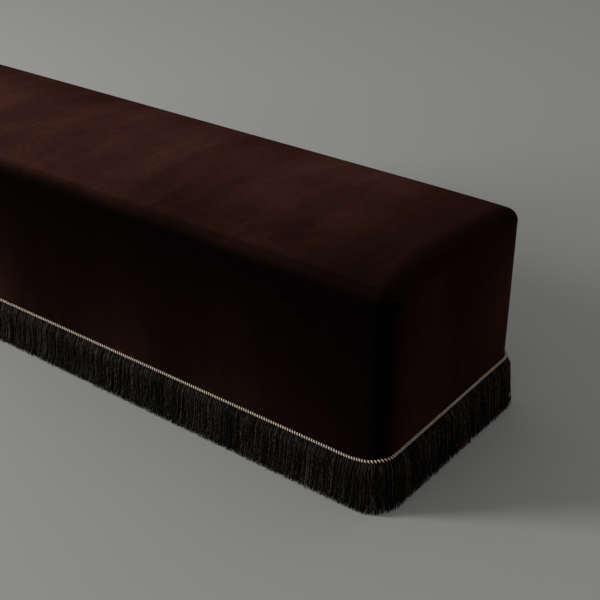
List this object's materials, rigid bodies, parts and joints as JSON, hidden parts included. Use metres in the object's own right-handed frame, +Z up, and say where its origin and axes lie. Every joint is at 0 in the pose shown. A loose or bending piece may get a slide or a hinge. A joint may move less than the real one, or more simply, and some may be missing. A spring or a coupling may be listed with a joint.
{
  "type": "upholstered bench ottoman",
  "caption": "Long rectangular upholstered ottoman with a crowned dark velvet cover, sewn end panels, a twisted trim cord and a floor-length cut fringe hiding short feet.",
  "frame": {"origin": "middle of the footprint, on the floor", "axes": "+X along the length towards the right end, +Y from front to back, +Z up"},
  "size_m": [1.7452, 0.5172, 0.45],
  "materials": {
    "velvet": "matte",
    "trim_cord": "satin",
    "fringe": "satin",
    "wadding": "matte",
    "foam": "matte",
    "hessian": "matte",
    "webbing": "matte",
    "dust_cloth": "matte",
    "hardboard": "matte",
    "softwood": "matte",
    "stained_wood": "satin",
    "nylon": "satin",
    "zinc": "satin"
  },
  "bodies": {
    "root": {"cover_main": "velvet", "cover_end_left": "velvet", "cover_end_right": "velvet", "trim_cord": "trim_cord", "fringe_front": "fringe", "fringe_back": "fringe", "fringe_left": "fringe", "fringe_right": "fringe", "wadding_wrap": "wadding", "seat_foam": "foam", "seat_hessian": "hessian", "seat_webbing": "webbing", "dust_cover": "dust_cloth", "panel_front": "hardboard", "panel_back": "hardboard", "panel_left": "hardboard", "panel_right": "hardboard", "rail_bottom_front": "softwood", "rail_bottom_back": "softwood", "rail_bottom_left": "softwood", "rail_bottom_right": "softwood", "rail_top_front": "softwood", "rail_top_back": "softwood", "rail_top_left": "softwood", "rail_top_right": "softwood", "post_front_left": "softwood", "post_front_right": "softwood", "post_back_left": "softwood", "post_back_right": "softwood", "stud_front_1": "softwood", "stud_front_2": "softwood", "stud_back_1": "softwood", "stud_back_2": "softwood", "cross_rail_bottom_1": "softwood", "cross_rail_bottom_2": "softwood", "cross_rail_top_1": "softwood", "cross_rail_top_2": "softwood", "corner_block_front_left": "softwood", "corner_block_front_right": "softwood", "corner_block_back_left": "softwood", "corner_block_back_right": "softwood", "foot_front_left": "stained_wood", "foot_front_right": "stained_wood", "foot_back_left": "stained_wood", "foot_back_right": "stained_wood", "glide_front_left": "nylon", "glide_front_right": "nylon", "glide_back_left": "nylon", "glide_back_right": "nylon", "foot_bolt_front_left": "zinc", "foot_bolt_front_right": "zinc", "foot_bolt_back_left": "zinc", "foot_bolt_back_right": "zinc", "tnut_front_left": "zinc", "tnut_front_right": "zinc", "tnut_back_left": "zinc", "tnut_back_right": "zinc"}
  },
  "joints": []
}
